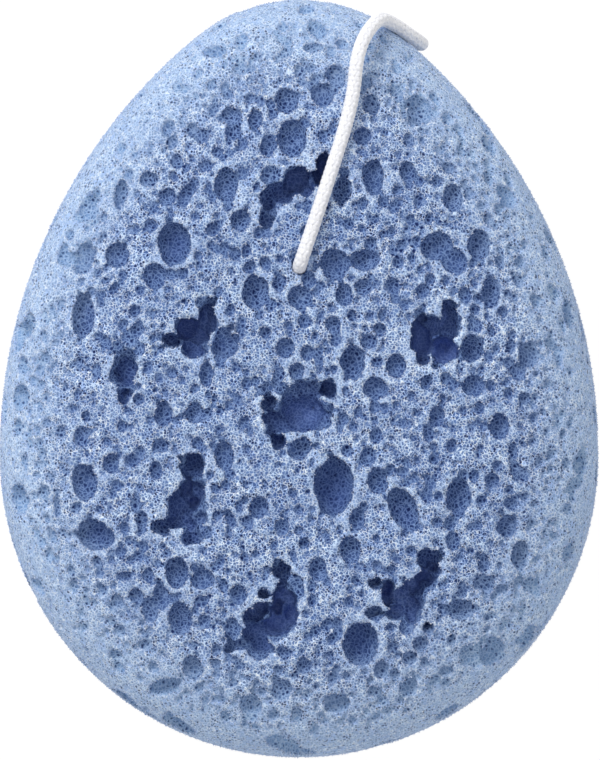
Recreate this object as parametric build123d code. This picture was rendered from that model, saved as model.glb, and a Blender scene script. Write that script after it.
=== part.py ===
from build123d import *

import math
import os
import random

# Egg-shaped bath sponge of open-cell foam, with a braided hanging cord. The cord is threaded through the
# thickness, passes round the narrow end and is knotted under it. Millimetres.
# The sponge lies on its back: the origin is under its middle, +Y points to the narrow end and +Z out of
# the front.

# Foam pad
sponge_length = 140.0
sponge_width = 110.6
sponge_thickness = 46.0
widest_level = -14.0  # y of the widest place, nearer the blunt end
narrow_end_radius = 29.6
edge_fullness = 3.2  # exponent of the edge's superellipse, where 2 is an ellipse and more is squarer
edge_bands = 6  # flat bands from the rim to each flat face
band_turn = 11.25  # degrees of the superellipse's parameter for each band
facet_length = 6.4  # longest facet along the outline

# Bubbles, the large open cells of the foam
bubble_sides = 8
large_bubble_sides = 10
large_bubble = 5.0  # from this length on, a bubble gets the finer shape
bubble_sink = 0.28  # a bubble's centre lies this share of its depth under the skin
bubble_depth = 0.64  # depth of a plain bubble, over its mean size
bubble_wall = 0.9  # least foam between two scattered bubbles
scattered_sizes = (2.2, 3.6)
front_scatter = 14
back_scatter = 18
rim_scatter = 26
scatter_seed = 11

# Cord, its hole and its knot
cord_diameter = 2.6
cord_sides = 8
cord_clearance = 0.3
hole_y = 20.4
mouth_diameter = 6.4
mouth_depth = 5.0
seat_depth = 3.1  # depth of the dent that the cord presses into the back
seat_end = (-12.4, 55.7)
knot_centre = (4.8, 64.2)
knot_length = 9.2
knot_diameter = 6.8
knot_waist = 4.6  # diameter of the knot at its two ends
knot_sides = 12
tail_length = 4.5  # each of the cord's two ends stands out of the knot this far
tail_offset = 2.9  # from the knot's axis, towards the sponge's middle

cord_radius = cord_diameter / 2
half_width = sponge_width / 2
half_length = sponge_length / 2
half_thickness = sponge_thickness / 2

# Open bubbles of the front face that stand by themselves: x, y, size across, size along, lean in degrees
front_bubbles = [
    (-22.9, 24.7, 5.9, 7.8, 0), (-13.5, 35.6, 4.1, 6.2, 0), (-33.5, 22.8, 4.4, 4.6, 0),
    (-26.5, 18.8, 3.9, 4.8, 0), (-1.3, 44.1, 4.8, 6.7, 0), (-2.2, 51.1, 4.1, 4.8, 0),
    (4.4, 52.2, 4.0, 4.5, 0), (-8.1, 47.6, 2.6, 4.1, 0), (-20.7, 33.9, 2.4, 4.4, -25),
    (-32.9, 33.7, 2.6, 5.5, 0), (-10.7, 29.1, 3.7, 4.1, 0), (-27.7, 36.7, 3.3, 2.8, 0),
    (13.7, 37.1, 3.7, 6.2, 0), (20.0, 37.8, 3.0, 4.0, 0), (28.3, 33.4, 3.5, 5.2, 0),
    (33.1, 24.7, 4.3, 5.4, 0), (25.3, 24.3, 5.6, 5.0, 30), (29.0, 21.4, 4.4, 5.0, 30),
    (11.7, 44.5, 3.3, 3.1, 0), (13.3, 50.4, 3.3, 4.0, 0), (18.0, 52.6, 2.4, 3.6, 25),
    (-12.6, 48.5, 3.3, 3.0, 0), (-8.0, 15.8, 4.8, 6.3, 0), (0.2, 14.9, 4.4, 4.2, 0),
    (6.5, 21.0, 5.2, 5.6, 0), (12.4, 21.7, 5.0, 3.9, 0), (8.3, 15.3, 3.2, 4.0, 0),
    (35.3, 15.8, 3.5, 5.5, 0), (-39.8, 11.5, 4.0, 8.0, 0), (-17.0, 0.8, 2.6, 4.5, 0),
    (-25.0, -6.6, 3.3, 4.6, 0), (-39.4, -19.1, 4.7, 6.2, 0), (-34.6, -15.6, 2.8, 3.7, 0),
    (-13.7, -14.3, 3.5, 5.2, 0), (-2.6, 5.6, 3.4, 3.7, 0), (9.8, 3.0, 4.4, 6.2, 0),
    (17.9, 2.3, 3.6, 4.2, 0), (14.0, -2.4, 4.2, 4.0, 0), (32.0, -1.4, 4.0, 3.7, 0),
    (36.8, -8.8, 3.6, 4.8, 0), (25.3, -6.9, 3.0, 3.8, 0), (6.3, -19.5, 7.2, 10.4, 0),
    (19.2, -24.3, 4.8, 8.2, 25), (29.3, -21.6, 4.4, 6.5, 0), (14.4, -18.0, 3.4, 4.4, 0),
    (9.4, -31.4, 4.0, 4.8, 0), (-37.5, -28.8, 6.8, 5.4, -20), (-22.4, -35.6, 4.2, 5.9, 0),
    (-17.0, -37.2, 3.6, 3.6, 0), (-25.3, -40.6, 3.0, 4.2, 0), (-20.9, -44.6, 4.0, 6.1, 0),
    (-19.6, -53.2, 3.6, 4.6, 0), (-8.9, -60.2, 4.1, 4.2, 0), (-2.8, -57.0, 3.4, 3.7, 0),
    (11.3, -48.8, 6.3, 8.1, 0), (40.7, -32.5, 3.2, 5.4, 0), (38.3, -27.0, 3.5, 4.0, 0),
    (29.8, -42.5, 5.3, 3.4, 0), (30.9, -50.8, 2.7, 4.1, 0), (7.0, -59.9, 4.6, 3.9, 0),
]

# Deep holes of the front face, each made of bubbles that run into each other: x, y, across, along, depth
front_hollows = [
    [
        (-6.4, 30.6, 4.2, 5.0, 4), (-4.2, 34.4, 5.4, 5.4, 6.5), (-0.4, 36.6, 6.0, 5.2, 8),
        (3.0, 38.4, 5.4, 5.0, 6.5), (7.6, 34.4, 3.8, 4.8, 4),
    ],
    [
        (-22.8, 6.4, 5.2, 5.4, 6.5), (-19.8, 8.4, 6.8, 6.6, 11), (-16.8, 12.0, 5.4, 5.8, 6.5),
        (-14.4, 7.0, 5.6, 6.0, 5), (-18.6, 4.6, 4.0, 3.6, 5),
    ],
    [
        (22.4, 8.0, 6.4, 7.6, 11), (26.6, 5.8, 6.6, 6.6, 8), (27.8, 11.6, 5.4, 7.2, 6.5),
        (31.2, 5.2, 5.0, 5.4, 5), (22.6, 3.6, 3.4, 3.2, 4),
    ],
    [
        (-4.4, -4.4, 5.6, 6.0, 6.5), (-4.0, -9.8, 5.4, 6.4, 11), (1.0, -6.4, 7.0, 6.6, 9.5),
        (5.0, -2.2, 4.6, 4.8, 5), (0.8, -11.2, 4.0, 4.4, 5),
    ],
    [
        (-19.9, -16.8, 5.4, 6.2, 8), (-20.8, -21.4, 5.4, 6.4, 11), (-23.2, -26.0, 6.8, 5.8, 8),
        (-19.6, -28.6, 4.2, 4.6, 5), (-27.4, -26.8, 4.2, 4.2, 5),
    ],
    [
        (-2.4, -36.8, 5.0, 5.4, 6.5), (-3.2, -42.2, 6.8, 7.8, 12), (-7.6, -46.8, 6.6, 6.2, 9.5),
        (-12.4, -47.8, 4.6, 4.8, 5), (-8.4, -43.2, 4.0, 3.8, 4), (-6.6, -51.2, 3.8, 3.6, 4),
    ],
    [
        (24.0, -33.8, 5.8, 5.6, 6.5), (21.6, -39.0, 6.8, 6.6, 11), (16.0, -39.6, 5.4, 6.0, 8),
        (19.0, -43.2, 5.8, 4.4, 6.5), (25.4, -36.6, 3.4, 3.6, 5),
    ],
    [
        (-32.4, 1.2, 5.4, 7.6, 9.5), (-32.0, -3.4, 3.6, 5.0, 5),
    ],
]

# Route of the cord's centre line from the knot over the narrow end to the front, through the hole and back
cord_route = [
    (9.4, 64.2, 3.4),
    (13.5, 63.8, 3.5),
    (18.8, 62.1, 6.0),
    (22.3, 62.2, 11.5),
    (22.9, 61.9, 19.9),
    (21.6, 62.7, 25.5),
    (16.5, 66.1, 31.9),
    (14.2, 66.2, 38.5),
    (10.7, 60.6, 45.7),
    (9.9, 50.4, 45.7),
    (4.6, 34.0, 47.8),
    (2.1, 26.6, 47.6),
    (0.0, 20.4, 47.6),
    (0.1, 20.4, 40.0),
    (-0.1, 20.4, 24.0),
    (0.1, 20.4, 8.2),
    (0.0, 20.4, 1.5),
    (-2.4, 27.2, 1.5),
    (-6.3, 38.7, 1.5),
    (-9.8, 48.0, 1.5),
    (-11.7, 53.7, 1.6),
    (-11.1, 58.3, 2.2),
    (-8.5, 62.1, 2.7),
    (-4.4, 64.2, 3.1),
    (0.2, 64.2, 3.4),
]


def side_radius():
    """Radius of the arc that leaves the widest place upright and runs into the narrow end's arc."""
    rise = half_length - widest_level
    spare = half_width**2 + rise**2 - 2 * rise * narrow_end_radius
    return spare / (2 * (half_width - narrow_end_radius))


def blend_point():
    """Where the right-hand side arc meets the narrow end's arc."""
    radius = side_radius()
    turn = math.atan2(half_length - narrow_end_radius - widest_level, radius - half_width)
    return (half_width - radius + radius * math.cos(turn), widest_level + radius * math.sin(turn))


def egg_outline():
    """The pad's outline: half an ellipse at the blunt end, then two side arcs and the narrow end's arc."""
    blend_x, blend_y = blend_point()
    with BuildSketch() as egg:
        with BuildLine():
            blunt_length = half_length + widest_level
            EllipticalCenterArc((0, widest_level), half_width, blunt_length, 180, arc_size=180)
            TangentArc((half_width, widest_level), (blend_x, blend_y), tangent=(0, 1))
            ThreePointArc((blend_x, blend_y), (0, half_length), (-blend_x, blend_y))
            TangentArc((-half_width, widest_level), (-blend_x, blend_y), tangent=(0, 1))
        make_face()
    return egg.sketch


def reach(x, y):
    """Distance from the middle to the outline, in the direction of (x, y)."""
    distance = math.hypot(x, y)
    across, along = abs(x) / distance, y / distance
    blend_x, blend_y = blend_point()
    if math.atan2(along, across) < math.atan2(widest_level, half_width):
        blunt = half_length + widest_level
        a = (across / half_width) ** 2 + (along / blunt) ** 2
        b = along * widest_level / blunt**2
        c = (widest_level / blunt) ** 2 - 1
        return (b + math.sqrt(b * b - a * c)) / a
    if math.atan2(along, across) < math.atan2(blend_y, blend_x):
        radius = side_radius()
        centre_x, centre_y = half_width - radius, widest_level
    else:
        radius = narrow_end_radius
        centre_x, centre_y = 0.0, half_length - radius
    nearest = across * centre_x + along * centre_y
    return nearest + math.sqrt(nearest**2 - centre_x**2 - centre_y**2 + radius**2)


def outline_points():
    """Corners of the pad's facets at its widest level, anticlockwise, with one at each end of every arc."""
    corners = []
    for edge in egg_outline().face().outer_wire().order_edges():
        facets = math.ceil(edge.length / facet_length / 2) * 2
        corners += [edge @ (facet / facets) for facet in range(facets)]
    return corners


def edge_profile():
    """Scale of the outline and height above mid thickness of each ring, from the rim to the flat face."""
    power = 2 / edge_fullness
    flat = math.sin(math.radians(edge_bands * band_turn)) ** power
    rings = []
    for ring in range(edge_bands + 1):
        turn = math.radians(ring * band_turn)
        rings.append((math.cos(turn) ** power, half_thickness * math.sin(turn) ** power / flat))
    return rings


def height(x, y):
    """Height of the skin above mid thickness at (x, y)."""
    rings = edge_profile()
    share = math.hypot(x, y) / reach(x, y) if x or y else 0.0
    for (outer, low), (inner, high) in zip(rings, rings[1:]):
        if share > inner:
            return low + (high - low) * (min(share, outer) - outer) / (inner - outer)
    return half_thickness


def face_spot(x, y, side):
    """Point of the front (side 1) or back (side -1) skin at (x, y), and the direction that it faces."""
    step = 0.5
    slope_x = (height(x + step, y) - height(x - step, y)) / (2 * step)
    slope_y = (height(x, y + step) - height(x, y - step)) / (2 * step)
    return Vector(x, y, half_thickness + side * height(x, y)), Vector(-slope_x, -slope_y, side).normalized()


def rim_spot(angle, rise):
    """Point of the rim at an angle and at a height above mid thickness, and the direction that it faces."""
    (outer, low), (inner, high) = edge_profile()[:2]
    along = Vector(math.cos(angle), math.sin(angle), 0)
    scale = outer + (inner - outer) * (abs(rise) - low) / (high - low)
    span = reach(along.X, along.Y)
    step = 0.01
    ahead = Vector(math.cos(angle + step), math.sin(angle + step), 0)
    run = ahead * reach(ahead.X, ahead.Y) - along * span
    out = Vector(run.Y, -run.X, 0).normalized()
    lean = math.copysign(span * (outer - inner) / (high - low), rise)
    spot = along * (span * scale) + Vector(0, 0, half_thickness + rise)
    return spot, Vector(out.X, out.Y, lean).normalized()


def bubble(spot, facing, across, along, lean=0.0, depth=None):
    """A faceted ball whose centre lies under the skin, long in the direction of the sponge's length."""
    fine = max(across, along) >= large_bubble
    sides = large_bubble_sides if fine else bubble_sides
    rings = (-62, -22, 22, 62) if fine else (-50, 0, 50)
    depth = depth or bubble_depth * (across + along) / 2
    half_height = depth * (1 - bubble_sink)
    length_way = Vector(0, 1, 0) - facing * facing.Y
    if length_way.length < 0.2:
        length_way = Vector(1, 0, 0)
    centre = spot - facing * depth * bubble_sink
    seat = Plane(centre, x_dir=length_way.cross(facing), z_dir=facing).rotated((0, 0, lean))
    corners = []
    for ring in rings:
        level = math.radians(ring)
        for side in range(sides):
            turn = 2 * math.pi * side / sides
            x = across / 2 * math.cos(level) * math.cos(turn)
            y = along / 2 * math.cos(level) * math.sin(turn)
            corners.append(seat.from_local_coords((x, y, half_height * math.sin(level))))
    return ConvexPolyhedron(corners)


def scattered(count, pick, taken, keep_clear, dice):
    """Bubbles at random spots that stay off the others and out of the places to keep clear."""
    made = []
    tries = 0
    while len(made) < count and tries < 60 * count:
        tries += 1
        spot, facing = pick(dice)
        across = dice.uniform(*scattered_sizes)
        along = across * dice.uniform(1.0, 1.35)
        room = along / 2 + bubble_wall
        if any((spot - place).length < room + radius for place, radius in taken + keep_clear):
            continue
        taken.append((spot, along / 2))
        made.append(bubble(spot, facing, across, along))
    return made


def pick_front(dice):
    angle = dice.uniform(0, 2 * math.pi)
    share = math.sqrt(dice.uniform(0, 0.86))
    span = share * reach(math.cos(angle), math.sin(angle))
    return face_spot(span * math.cos(angle), span * math.sin(angle), 1)


def pick_back(dice):
    spot, facing = pick_front(dice)
    return face_spot(spot.X, spot.Y, -1)


def pick_rim(dice):
    rim_rise = edge_profile()[1][1]
    return rim_spot(dice.uniform(0, 2 * math.pi), dice.choice((-1, 1)) * dice.uniform(0.3, 0.9) * rim_rise)


def clear_places():
    """Spots that no scattered bubble touches: the farthest points, the cord's way and the rest spot."""
    tips = [
        (Vector(half_width, widest_level, half_thickness), 4.0),
        (Vector(-half_width, widest_level, half_thickness), 4.0),
        (Vector(0, half_length, half_thickness), 4.0),
        (Vector(0, -half_length, half_thickness), 4.0),
    ]
    way = [(Vector(*point), cord_diameter) for point in cord_route]
    return tips + way + [(Vector(0, widest_level, 0), 7.0)]


def cord_section(clearance=0.0):
    """The cord's round section, drawn as a polygon of the same area, with a clearance all round."""
    pull = 2 * math.pi / cord_sides
    same_area = math.sqrt(pull / math.sin(pull))
    return RegularPolygon((cord_radius + clearance) * same_area, cord_sides, rotation=180 / cord_sides)


def cord_hole():
    """The hole through the thickness, with a dimple at each mouth where the cord bends into it."""
    hole = extrude(Pos(0, hole_y, -1) * cord_section(cord_clearance), sponge_thickness + 2)
    lead = mouth_diameter / 4
    mouths = []
    for side in (1, -1):
        spot, facing = face_spot(lead / 2, hole_y + lead, side)
        mouths.append(bubble(spot, facing, mouth_diameter, mouth_diameter, depth=mouth_depth))
    return [hole] + mouths


def cord_seat():
    """The dent that the cord presses into the back, from the hole to where the back rises clear of it."""
    run = Vector(*seat_end) - Vector(0, hole_y)
    roof = Pos(0, seat_depth - cord_radius - cord_clearance) * cord_section(cord_clearance)
    wall = seat_depth - cord_radius - cord_clearance + 1
    mouth = Pos(0, wall / 2 - 1) * Rectangle(2 * (cord_radius + cord_clearance), wall)
    across = Plane((0, hole_y, 0), x_dir=Vector(run.Y, -run.X, 0), z_dir=-run)
    return extrude(across * (roof + mouth), -run.length)


def foam_pad():
    """The pad without its bubbles: the outline's corners, drawn in and raised ring by ring."""
    corners = outline_points()
    points = []
    for share, rise in edge_profile():
        for level in {half_thickness - rise, half_thickness + rise}:
            points += [(corner.X * share, corner.Y * share, level) for corner in corners]
    return ConvexPolyhedron(points)


def sponge_body():
    bubbles = []
    taken = []
    for x, y, across, along, lean in front_bubbles:
        spot, facing = face_spot(x, y, 1)
        bubbles.append(bubble(spot, facing, across, along, lean))
        taken.append((spot, along / 2))
    for hollow in front_hollows:
        for x, y, across, along, depth in hollow:
            spot, facing = face_spot(x, y, 1)
            bubbles.append(bubble(spot, facing, across, along, depth=depth))
            taken.append((spot, along / 2))

    dice = random.Random(scatter_seed)
    keep_clear = clear_places()
    bubbles += scattered(front_scatter, pick_front, taken, keep_clear, dice)
    bubbles += scattered(back_scatter, pick_back, taken, keep_clear, dice)
    bubbles += scattered(rim_scatter, pick_rim, taken, keep_clear, dice)
    return foam_pad() - (bubbles + cord_hole() + [cord_seat()])


def cord_knot():
    """The knot that joins the cord's two ends, as one plain solid, with the ends that stand out of it."""
    half = knot_length / 2
    corners = []
    for way in (-1, 1):
        for station, width in ((half / 2, knot_diameter), (half, knot_waist)):
            for side in range(knot_sides):
                turn = 2 * math.pi * (side + 0.5) / knot_sides
                corners.append((way * station, width / 2 * math.cos(turn), width / 2 * math.sin(turn)))
    knot = ConvexPolyhedron(corners)
    for way in (-1, 1):
        root = (way * half / 2, -tail_offset, cord_radius - knot_diameter / 2)
        outward = Plane(root, x_dir=(0, 1, 0), z_dir=(way, 0, 0))
        knot += extrude(outward * cord_section(), half / 2 + tail_length)
    return Pos(*knot_centre, knot_diameter / 2) * knot


def bend_radii(route):
    """The radius of each corner of the route: 0.45 of its shorter run over the tangent of half the turn."""
    radii = []
    for before, corner, after in zip(route, route[1:], route[2:]):
        run_in = corner - before
        run_out = after - corner
        half_turn = math.radians(run_in.get_angle(run_out)) / 2
        radii.append(0.45 * min(run_in.length, run_out.length) / math.tan(half_turn))
    return radii


def hang_cord(knot):
    route = [Vector(*point) for point in cord_route]
    radii = bend_radii(route)
    print("cord radii", [round(radius, 1) for radius in radii])
    path = FilletPolyline(*route, radius=radii)
    section = Plane(path @ 0, z_dir=path % 0) * cord_section()
    tube = sweep(section, path)
    print("cord length", round(path.length, 2))
    print("cord volume / section x length", round(tube.volume / section.area / path.length, 3))
    return tube - knot


os.makedirs("parts", exist_ok=True)
knot = cord_knot()
export_step(sponge_body(), "parts/sponge_body.step")
export_step(hang_cord(knot), "parts/hang_cord.step")
export_step(knot, "parts/cord_knot.step")
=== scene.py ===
import math

import bpy
import numpy as np
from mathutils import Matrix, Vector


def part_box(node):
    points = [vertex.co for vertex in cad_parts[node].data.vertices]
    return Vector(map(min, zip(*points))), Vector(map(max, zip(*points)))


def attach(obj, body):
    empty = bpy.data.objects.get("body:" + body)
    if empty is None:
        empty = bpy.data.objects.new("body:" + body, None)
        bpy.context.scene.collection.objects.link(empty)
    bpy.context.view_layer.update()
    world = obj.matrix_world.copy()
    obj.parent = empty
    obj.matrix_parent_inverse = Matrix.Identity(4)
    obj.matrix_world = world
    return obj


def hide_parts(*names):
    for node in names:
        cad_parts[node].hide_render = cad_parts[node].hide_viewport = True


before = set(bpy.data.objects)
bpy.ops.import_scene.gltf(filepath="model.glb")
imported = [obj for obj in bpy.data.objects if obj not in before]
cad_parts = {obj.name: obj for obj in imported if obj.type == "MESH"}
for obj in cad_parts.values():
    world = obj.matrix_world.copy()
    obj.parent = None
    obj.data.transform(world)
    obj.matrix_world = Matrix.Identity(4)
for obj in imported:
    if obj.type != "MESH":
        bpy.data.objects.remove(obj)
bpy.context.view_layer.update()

import openvdb
from mathutils import Vector

# Bath sponge: an egg-shaped pad of open-cell foam with a braided hanging cord through its thickness.
# Lengths are millimetres up to the point where a mesh is made, and MM turns them into metres.
MM = 0.001

# The pad, as in the solid: the same driving sizes and the same outline
foam_low, foam_high = (np.array(corner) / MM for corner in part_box("sponge_body"))
HALF_WIDTH, HALF_LENGTH, HALF_THICKNESS = (foam_high - foam_low) / 2
WIDEST_LEVEL = -14.0
NARROW_RADIUS = 29.6
FULLNESS = 3.2
FACE_TURN = math.radians(67.5)  # where the superellipse of the edge reaches the flat face
HOLE_Y = 20.4
VOXEL = 0.4
FOAM_TRIANGLES = 196000
FOAM_SEED = 41
FRONT_SMALL = 1500  # small bubbles between the listed ones of the front
BACK_LARGE = 190
BACK_SMALL = 700
RIM_BUBBLES = 620
FIBRE_SEED = 7
FIBRE_COUNT = 30000
DENT_RUN = (-11.7, 33.3)  # x and y of the cord's dent in the back, from the hole to its far end

# The cord: its centre line runs from inside the hole over the front and the narrow end,
# through the knot, and back into the hole from behind
CORD_DIAMETER = 2.6
cord_route = [
    (-0.1, 20.4, 24.0),
    (0.1, 20.4, 40.0),
    (0.0, 20.4, 47.6),
    (2.1, 26.6, 47.6),
    (4.6, 34.0, 47.8),
    (9.9, 50.4, 45.7),
    (10.7, 60.6, 45.7),
    (14.2, 66.2, 38.5),
    (16.5, 66.1, 31.9),
    (21.6, 62.7, 25.5),
    (22.9, 61.9, 19.9),
    (22.3, 62.2, 11.5),
    (18.8, 62.1, 6.0),
    (13.5, 63.8, 3.5),
    (9.4, 64.2, 3.4),
    (0.2, 64.2, 3.4),
    (-4.4, 64.2, 3.1),
    (-8.5, 62.1, 2.7),
    (-11.1, 58.3, 2.2),
    (-11.7, 53.7, 1.6),
    (-9.8, 48.0, 1.5),
    (-6.3, 38.7, 1.5),
    (-2.4, 27.2, 1.5),
    (0.0, 20.4, 1.5),
    (0.1, 20.4, 8.2),
    (-0.1, 20.4, 16.0),
]


# ---------------------------------------------------------------- camera, light and floor
def make_camera():
    distance = 3.0
    seen_height = 0.14056
    camera = bpy.data.cameras.new("camera")
    camera.sensor_fit = "VERTICAL"
    camera.sensor_height = 24.0
    camera.lens = camera.sensor_height * distance / seen_height
    camera.clip_end = 20.0
    holder = bpy.data.objects.new("camera", camera)
    bpy.context.scene.collection.objects.link(holder)
    holder.location = (0.00018, -0.00028, 0.023 + distance)
    bpy.context.scene.camera = holder


def area_light(name, spot, target, size, power):
    light = bpy.data.lights.new(name, "AREA")
    light.shape = "DISK"
    light.size = size
    light.energy = power
    holder = bpy.data.objects.new(name, light)
    bpy.context.scene.collection.objects.link(holder)
    holder.location = spot
    holder.rotation_euler = (Vector(target) - Vector(spot)).to_track_quat("-Z", "Y").to_euler()


def make_world(strength):
    world = bpy.data.worlds.new("studio")
    bpy.context.scene.world = world
    world.use_nodes = True
    nodes, links = world.node_tree.nodes, world.node_tree.links
    nodes.clear()
    out = nodes.new("ShaderNodeOutputWorld")
    soft = nodes.new("ShaderNodeBackground")
    white = nodes.new("ShaderNodeBackground")
    soft.inputs["Strength"].default_value = strength
    white.inputs["Strength"].default_value = 1.0
    path = nodes.new("ShaderNodeLightPath")
    mix = nodes.new("ShaderNodeMixShader")
    links.new(path.outputs["Is Camera Ray"], mix.inputs["Fac"])
    links.new(soft.outputs[0], mix.inputs[1])
    links.new(white.outputs[0], mix.inputs[2])
    links.new(mix.outputs[0], out.inputs["Surface"])


def make_floor():
    mesh = bpy.data.meshes.new("floor")
    half = 3.0
    corners = [(-half, -half, 0), (half, -half, 0), (half, half, 0), (-half, half, 0)]
    mesh.from_pydata(corners, [], [(0, 1, 2, 3)])
    floor = bpy.data.objects.new("floor", mesh)
    bpy.context.scene.collection.objects.link(floor)
    floor.location.z = -0.0002
    material = bpy.data.materials.new("floor")
    material.use_nodes = True
    nodes, links = material.node_tree.nodes, material.node_tree.links
    nodes.clear()
    out = nodes.new("ShaderNodeOutputMaterial")
    paper = nodes.new("ShaderNodeBsdfDiffuse")
    paper.inputs["Color"].default_value = (0.9, 0.9, 0.9, 1)
    glow = nodes.new("ShaderNodeEmission")
    glow.inputs["Strength"].default_value = 1.07
    path = nodes.new("ShaderNodeLightPath")
    share = nodes.new("ShaderNodeMath")
    share.operation = "MULTIPLY"
    share.inputs[1].default_value = 0.9
    mix = nodes.new("ShaderNodeMixShader")
    links.new(path.outputs["Is Camera Ray"], share.inputs[0])
    links.new(share.outputs[0], mix.inputs["Fac"])
    links.new(paper.outputs[0], mix.inputs[1])
    links.new(glow.outputs[0], mix.inputs[2])
    links.new(mix.outputs[0], out.inputs["Surface"])
    mesh.materials.append(material)


# ---------------------------------------------------------------- helpers
def mesh_piece(name, corners, faces, smooth=True):
    """A new piece from corners in millimetres. It rides on the one body of the sponge."""
    mesh = bpy.data.meshes.new(name)
    corners = np.asarray(corners, np.float32) * MM
    faces = np.asarray(faces, np.int32)
    per_face = faces.shape[1]
    mesh.vertices.add(len(corners))
    mesh.vertices.foreach_set("co", corners.ravel())
    mesh.loops.add(faces.size)
    mesh.loops.foreach_set("vertex_index", faces.ravel())
    mesh.polygons.add(len(faces))
    mesh.polygons.foreach_set("loop_start", np.arange(0, faces.size, per_face, dtype=np.int32))
    mesh.update(calc_edges=True)
    mesh.validate()
    mesh.polygons.foreach_set("use_smooth", np.full(len(mesh.polygons), smooth))
    piece = bpy.data.objects.new(name, mesh)
    bpy.context.scene.collection.objects.link(piece)
    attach(piece, "root")
    return piece


def corners_of(mesh):
    flat = np.empty(len(mesh.vertices) * 3, np.float32)
    mesh.vertices.foreach_get("co", flat)
    return flat.reshape(-1, 3).astype(np.float64) / MM


def spline_points(route):
    """Points along the NURBS spline that has the route's points as its control points, in millimetres."""
    curve = bpy.data.curves.new("route", "CURVE")
    curve.dimensions = "3D"
    spline = curve.splines.new("NURBS")
    spline.points.add(len(route) - 1)
    for point, place in zip(spline.points, route):
        point.co = (place[0] * MM, place[1] * MM, place[2] * MM, 1)
    spline.order_u = 3
    spline.use_endpoint_u = True
    spline.resolution_u = 24
    holder = bpy.data.objects.new("route", curve)
    bpy.context.scene.collection.objects.link(holder)
    bpy.context.view_layer.update()
    line = bpy.data.meshes.new_from_object(holder)
    points = corners_of(line)
    bpy.data.objects.remove(holder)
    bpy.data.meshes.remove(line)
    return points


def even_steps(points, step):
    """The same line with its points a step apart."""
    run = np.concatenate([[0], np.cumsum(np.linalg.norm(np.diff(points, axis=0), axis=1))])
    count = max(int(round(run[-1] / step)), 2)
    places = np.linspace(0, run[-1], count + 1)
    return np.stack([np.interp(places, run, points[:, axis]) for axis in range(3)], 1), places


def frames_along(points):
    """Two directions across the line at each point, carried along without twist."""
    ahead = np.gradient(points, axis=0)
    ahead /= np.linalg.norm(ahead, axis=1, keepdims=True)
    first = np.cross(ahead[0], (0.3, 0.2, 0.9))
    side = first / np.linalg.norm(first)
    sides = []
    for direction in ahead:
        side = side - direction * np.dot(side, direction)
        side /= np.linalg.norm(side)
        sides.append(side)
    sides = np.array(sides)
    return sides, np.cross(ahead, sides)


def tube(line, across, up, width, height, sides, start):
    """Corners and quads of a tube along the line, its section an ellipse on the two directions.

    The quads are wound so that they face into the tube.
    """
    turn = np.arange(sides) * 2 * math.pi / sides
    corners = (
        line[:, None]
        + across[:, None] * (np.cos(turn)[None, :, None] * width / 2)
        + up[:, None] * (np.sin(turn)[None, :, None] * height / 2)
    )
    index = np.arange(len(line) * sides).reshape(len(line), sides) + start
    quads = np.stack(
        [index[:-1], np.roll(index, -1, 1)[:-1], np.roll(index, -1, 1)[1:], index[1:]], -1
    ).reshape(-1, 4)
    return corners.reshape(-1, 3), quads


# ---------------------------------------------------------------- the cord
STRANDS = 8  # each way round
STRAND_SIDES = 6
BRAID_TURN = 7.6  # run in which a strand goes once round the cord


def braid(points, diameter, step=0.3):
    """Corners and quads of a round braid along the points, each strand over two and under two."""
    line, places = even_steps(points, step)
    side, up = frames_along(line)
    thickness = diameter * 0.14
    width = diameter * 0.36
    middle = diameter / 2 - thickness * 0.8
    corners, quads, count = [], [], 0
    for way in (1, -1):
        for strand in range(STRANDS):
            turn = way * places * 2 * math.pi / BRAID_TURN + strand * 2 * math.pi / STRANDS
            # A strand meets one of the others each time it has turned by half the gap between two strands
            crossing = turn * STRANDS / math.pi * way
            offset = 0.0 if way > 0 else 0.5
            lift = np.sin((crossing / 4 + offset + strand * 0.5 * way) * 2 * math.pi)
            radius = middle + thickness * 0.34 * np.tanh(1.6 * lift)
            out = side * np.cos(turn)[:, None] + up * np.sin(turn)[:, None]
            centre = line + out * radius[:, None]
            along = np.gradient(centre, axis=0)
            along /= np.linalg.norm(along, axis=1, keepdims=True)
            across = np.cross(along, out)
            across /= np.linalg.norm(across, axis=1, keepdims=True)
            more, faces = tube(centre, across, out, width, thickness * 1.15, STRAND_SIDES, count)
            corners.append(more)
            quads.append(faces)
            count += len(more)
    return np.concatenate(corners), np.concatenate(quads)


def make_cord():
    points = spline_points(cord_route)
    corners, quads = braid(points, CORD_DIAMETER)
    cord = mesh_piece("hanging_cord", corners, quads)
    length = np.linalg.norm(np.diff(points, axis=0), axis=1).sum()
    print("cord spline length", round(float(length), 1))
    return cord, points, length


# The knot, pulled tight, so its cord is a little thinner
KNOT_PLACE = np.array([4.8, 64.2, 3.4])
KNOT_CORD = 2.3
WRAP_RADIUS = 2.1
WRAP_REACH = 3.3  # from the knot's middle to its first and last wrap
WRAPS = 3.5
TAIL_REACH = 7.9
TAIL_OFFSET = (-2.9, -2.1)  # y and z of the tails from the knot's axis


def bead(centre, radius, reach, start):
    """A melted end of the cord: a small round lump drawn out along X.

    Its quads face inwards, and those at its two poles have one side of no length.
    """
    rings, sides = 9, 14
    fall = np.linspace(0, math.pi, rings)[:, None]
    turn = np.arange(sides) * 2 * math.pi / sides
    along = np.cos(fall) * reach + turn * 0
    across = np.sin(fall) * np.cos(turn) * radius
    up = np.sin(fall) * np.sin(turn) * radius
    shape = np.stack([along, across, up], -1)
    index = np.arange(rings * sides).reshape(rings, sides) + start
    quads = np.stack([index[:-1], np.roll(index, -1, 1)[:-1], np.roll(index, -1, 1)[1:], index[1:]], -1)
    return shape.reshape(-1, 3) + centre, quads.reshape(-1, 4)


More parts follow.
